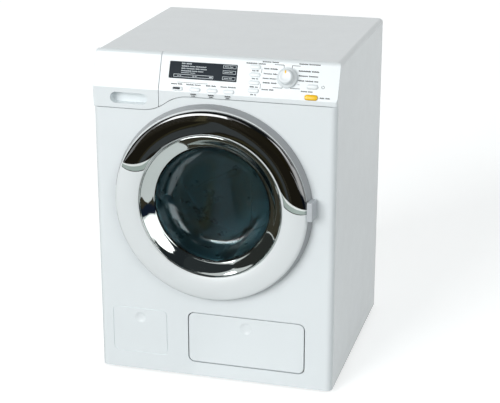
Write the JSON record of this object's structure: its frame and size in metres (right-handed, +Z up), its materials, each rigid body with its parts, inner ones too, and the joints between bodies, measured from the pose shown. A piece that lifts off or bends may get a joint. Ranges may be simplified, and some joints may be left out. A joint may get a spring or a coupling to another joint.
{
  "type": "toy washing machine",
  "caption": "Toy front-loading washing machine with a round hinged door, turning drum with gear drive, detergent drawer, water drawer, program knob and push buttons.",
  "frame": {"origin": "middle of the whole machine's box, on the floor under the feet, with the door shut", "axes": "+Z up, the door faces -Y, +X to the right of someone who faces the door"},
  "size_m": [0.185, 0.188, 0.256],
  "materials": {
    "white_plastic": "glossy moulded ABS",
    "satin_white_plastic": "satin moulded ABS",
    "silver_grey_plastic": "satin silver-grey moulded ABS",
    "light_grey_plastic": "satin moulded ABS",
    "mirror_trim": "dark mirror-plated ABS",
    "bright_chrome": "bright chrome-plated ABS",
    "smoked_glass": "clear smoked polystyrene",
    "display": "printed film",
    "yellow_plastic": "glossy moulded ABS",
    "inner_plastic": "natural moulded polypropylene",
    "translucent_plastic": "frosted moulded polypropylene",
    "drum_plastic": "metallic grey moulded ABS",
    "softener_plastic": "light blue moulded polypropylene",
    "gear_plastic": "natural acetal",
    "bush_plastic": "oil-filled bush plastic",
    "dark_plastic": "black moulded plastic",
    "board": "green solder mask on laminate",
    "rubber": "grey moulded rubber",
    "steel": "zinc-plated steel",
    "motor_can": "rolled steel can",
    "pinion_brass": "turned brass",
    "cell_wrap": "plain printed wrap"
  },
  "bodies": {
    "housing": {"cabinet": "white_plastic", "base_plate": "satin_white_plastic", "rear_panel": "satin_white_plastic", "feet": "rubber", "casing_screws": "steel", "control_panel": "white_plastic", "display_window": "display", "option_buttons": "white_plastic", "circuit_board": "board", "rotary_switch": "dark_plastic", "button_switches": "dark_plastic", "speaker": "dark_plastic", "dispenser_housing": "inner_plastic", "fill_hose": "rubber", "hinge_bracket": "steel", "hinge_pin": "steel", "latch_keeper": "inner_plastic", "door_gasket": "rubber", "tub": "inner_plastic", "tub_screws": "steel", "shaft_bush": "bush_plastic", "idler_pin": "steel", "motor": "motor_can", "gear_cover": "inner_plastic", "drain_spout": "rubber", "tank_runners": "inner_plastic", "battery_box": "satin_white_plastic", "batteries": "cell_wrap", "battery_contacts": "steel", "battery_cover": "satin_white_plastic", "cover_screw": "steel"},
    "door": {"door_shell": "silver_grey_plastic", "door_ring": "white_plastic", "door_trim": "mirror_trim", "door_rim": "bright_chrome", "door_glass": "smoked_glass", "glass_floor": "smoked_glass", "door_back_ring": "satin_white_plastic", "door_screws": "steel", "door_grip": "light_grey_plastic"},
    "drum": {"drum": "drum_plastic", "drum_front": "drum_plastic", "drum_back": "drum_plastic", "drum_lifters": "drum_plastic", "drum_shaft": "steel", "drum_gear": "gear_plastic"},
    "idler": {"idler_gear": "gear_plastic"},
    "pinion": {"motor_pinion": "pinion_brass", "motor_shaft": "steel"},
    "detergent_drawer": {"drawer_front": "white_plastic", "drawer_tray": "inner_plastic", "tray_divider": "inner_plastic", "siphon_cap": "softener_plastic"},
    "tank_drawer": {"tank_front": "white_plastic", "water_tank": "translucent_plastic"},
    "knob": {"program_knob": "white_plastic", "knob_mark": "yellow_plastic", "knob_spindle": "steel"},
    "start_key": {"start_button": "yellow_plastic"},
    "power_key": {"power_button": "white_plastic"}
  },
  "joints": [
    {"name": "door_hinge", "type": "hinge", "parent": "housing", "child": "door", "pos_m": [-0.0725, -0.087, 0.1461], "axis": [0, 0, -1], "range_deg": [0, 110]},
    {"name": "drum_spin", "type": "hinge", "parent": "housing", "child": "drum", "pos_m": [0, 0, 0.1461], "axis": [0, 1, 0], "continuous": true},
    {"name": "idler_spin", "type": "hinge", "parent": "housing", "child": "idler", "pos_m": [0.02491, 0, 0.11642], "axis": [0, 1, 0], "continuous": true},
    {"name": "pinion_spin", "type": "hinge", "parent": "housing", "child": "pinion", "pos_m": [0.04181, 0, 0.0872], "axis": [0, 1, 0], "continuous": true},
    {"name": "drawer_slide", "type": "slide", "parent": "housing", "child": "detergent_drawer", "axis": [0, -1, 0], "range_m": [0, 0.04]},
    {"name": "tank_slide", "type": "slide", "parent": "housing", "child": "tank_drawer", "axis": [0, -1, 0], "range_m": [0, 0.085]},
    {"name": "knob_turn", "type": "hinge", "parent": "housing", "child": "knob", "pos_m": [0.0549, -0.07636, 0.24411], "axis": [0, -0.9285, 0.3714], "continuous": true},
    {"name": "start_press", "type": "slide", "parent": "housing", "child": "start_key", "axis": [0, 0.9285, -0.3714], "range_m": [0, 0.0012], "stiffness_N_per_m": 250, "springref_m": -0.0005},
    {"name": "power_press", "type": "slide", "parent": "housing", "child": "power_key", "axis": [0, 0.9285, -0.3714], "range_m": [0, 0.0012], "stiffness_N_per_m": 250, "springref_m": -0.0005}
  ],
  "couplings": [
    {"joint": "idler_spin", "follows": "drum_spin", "ratio": -3.4286},
    {"joint": "pinion_spin", "follows": "drum_spin", "ratio": 9.7959}
  ]
}
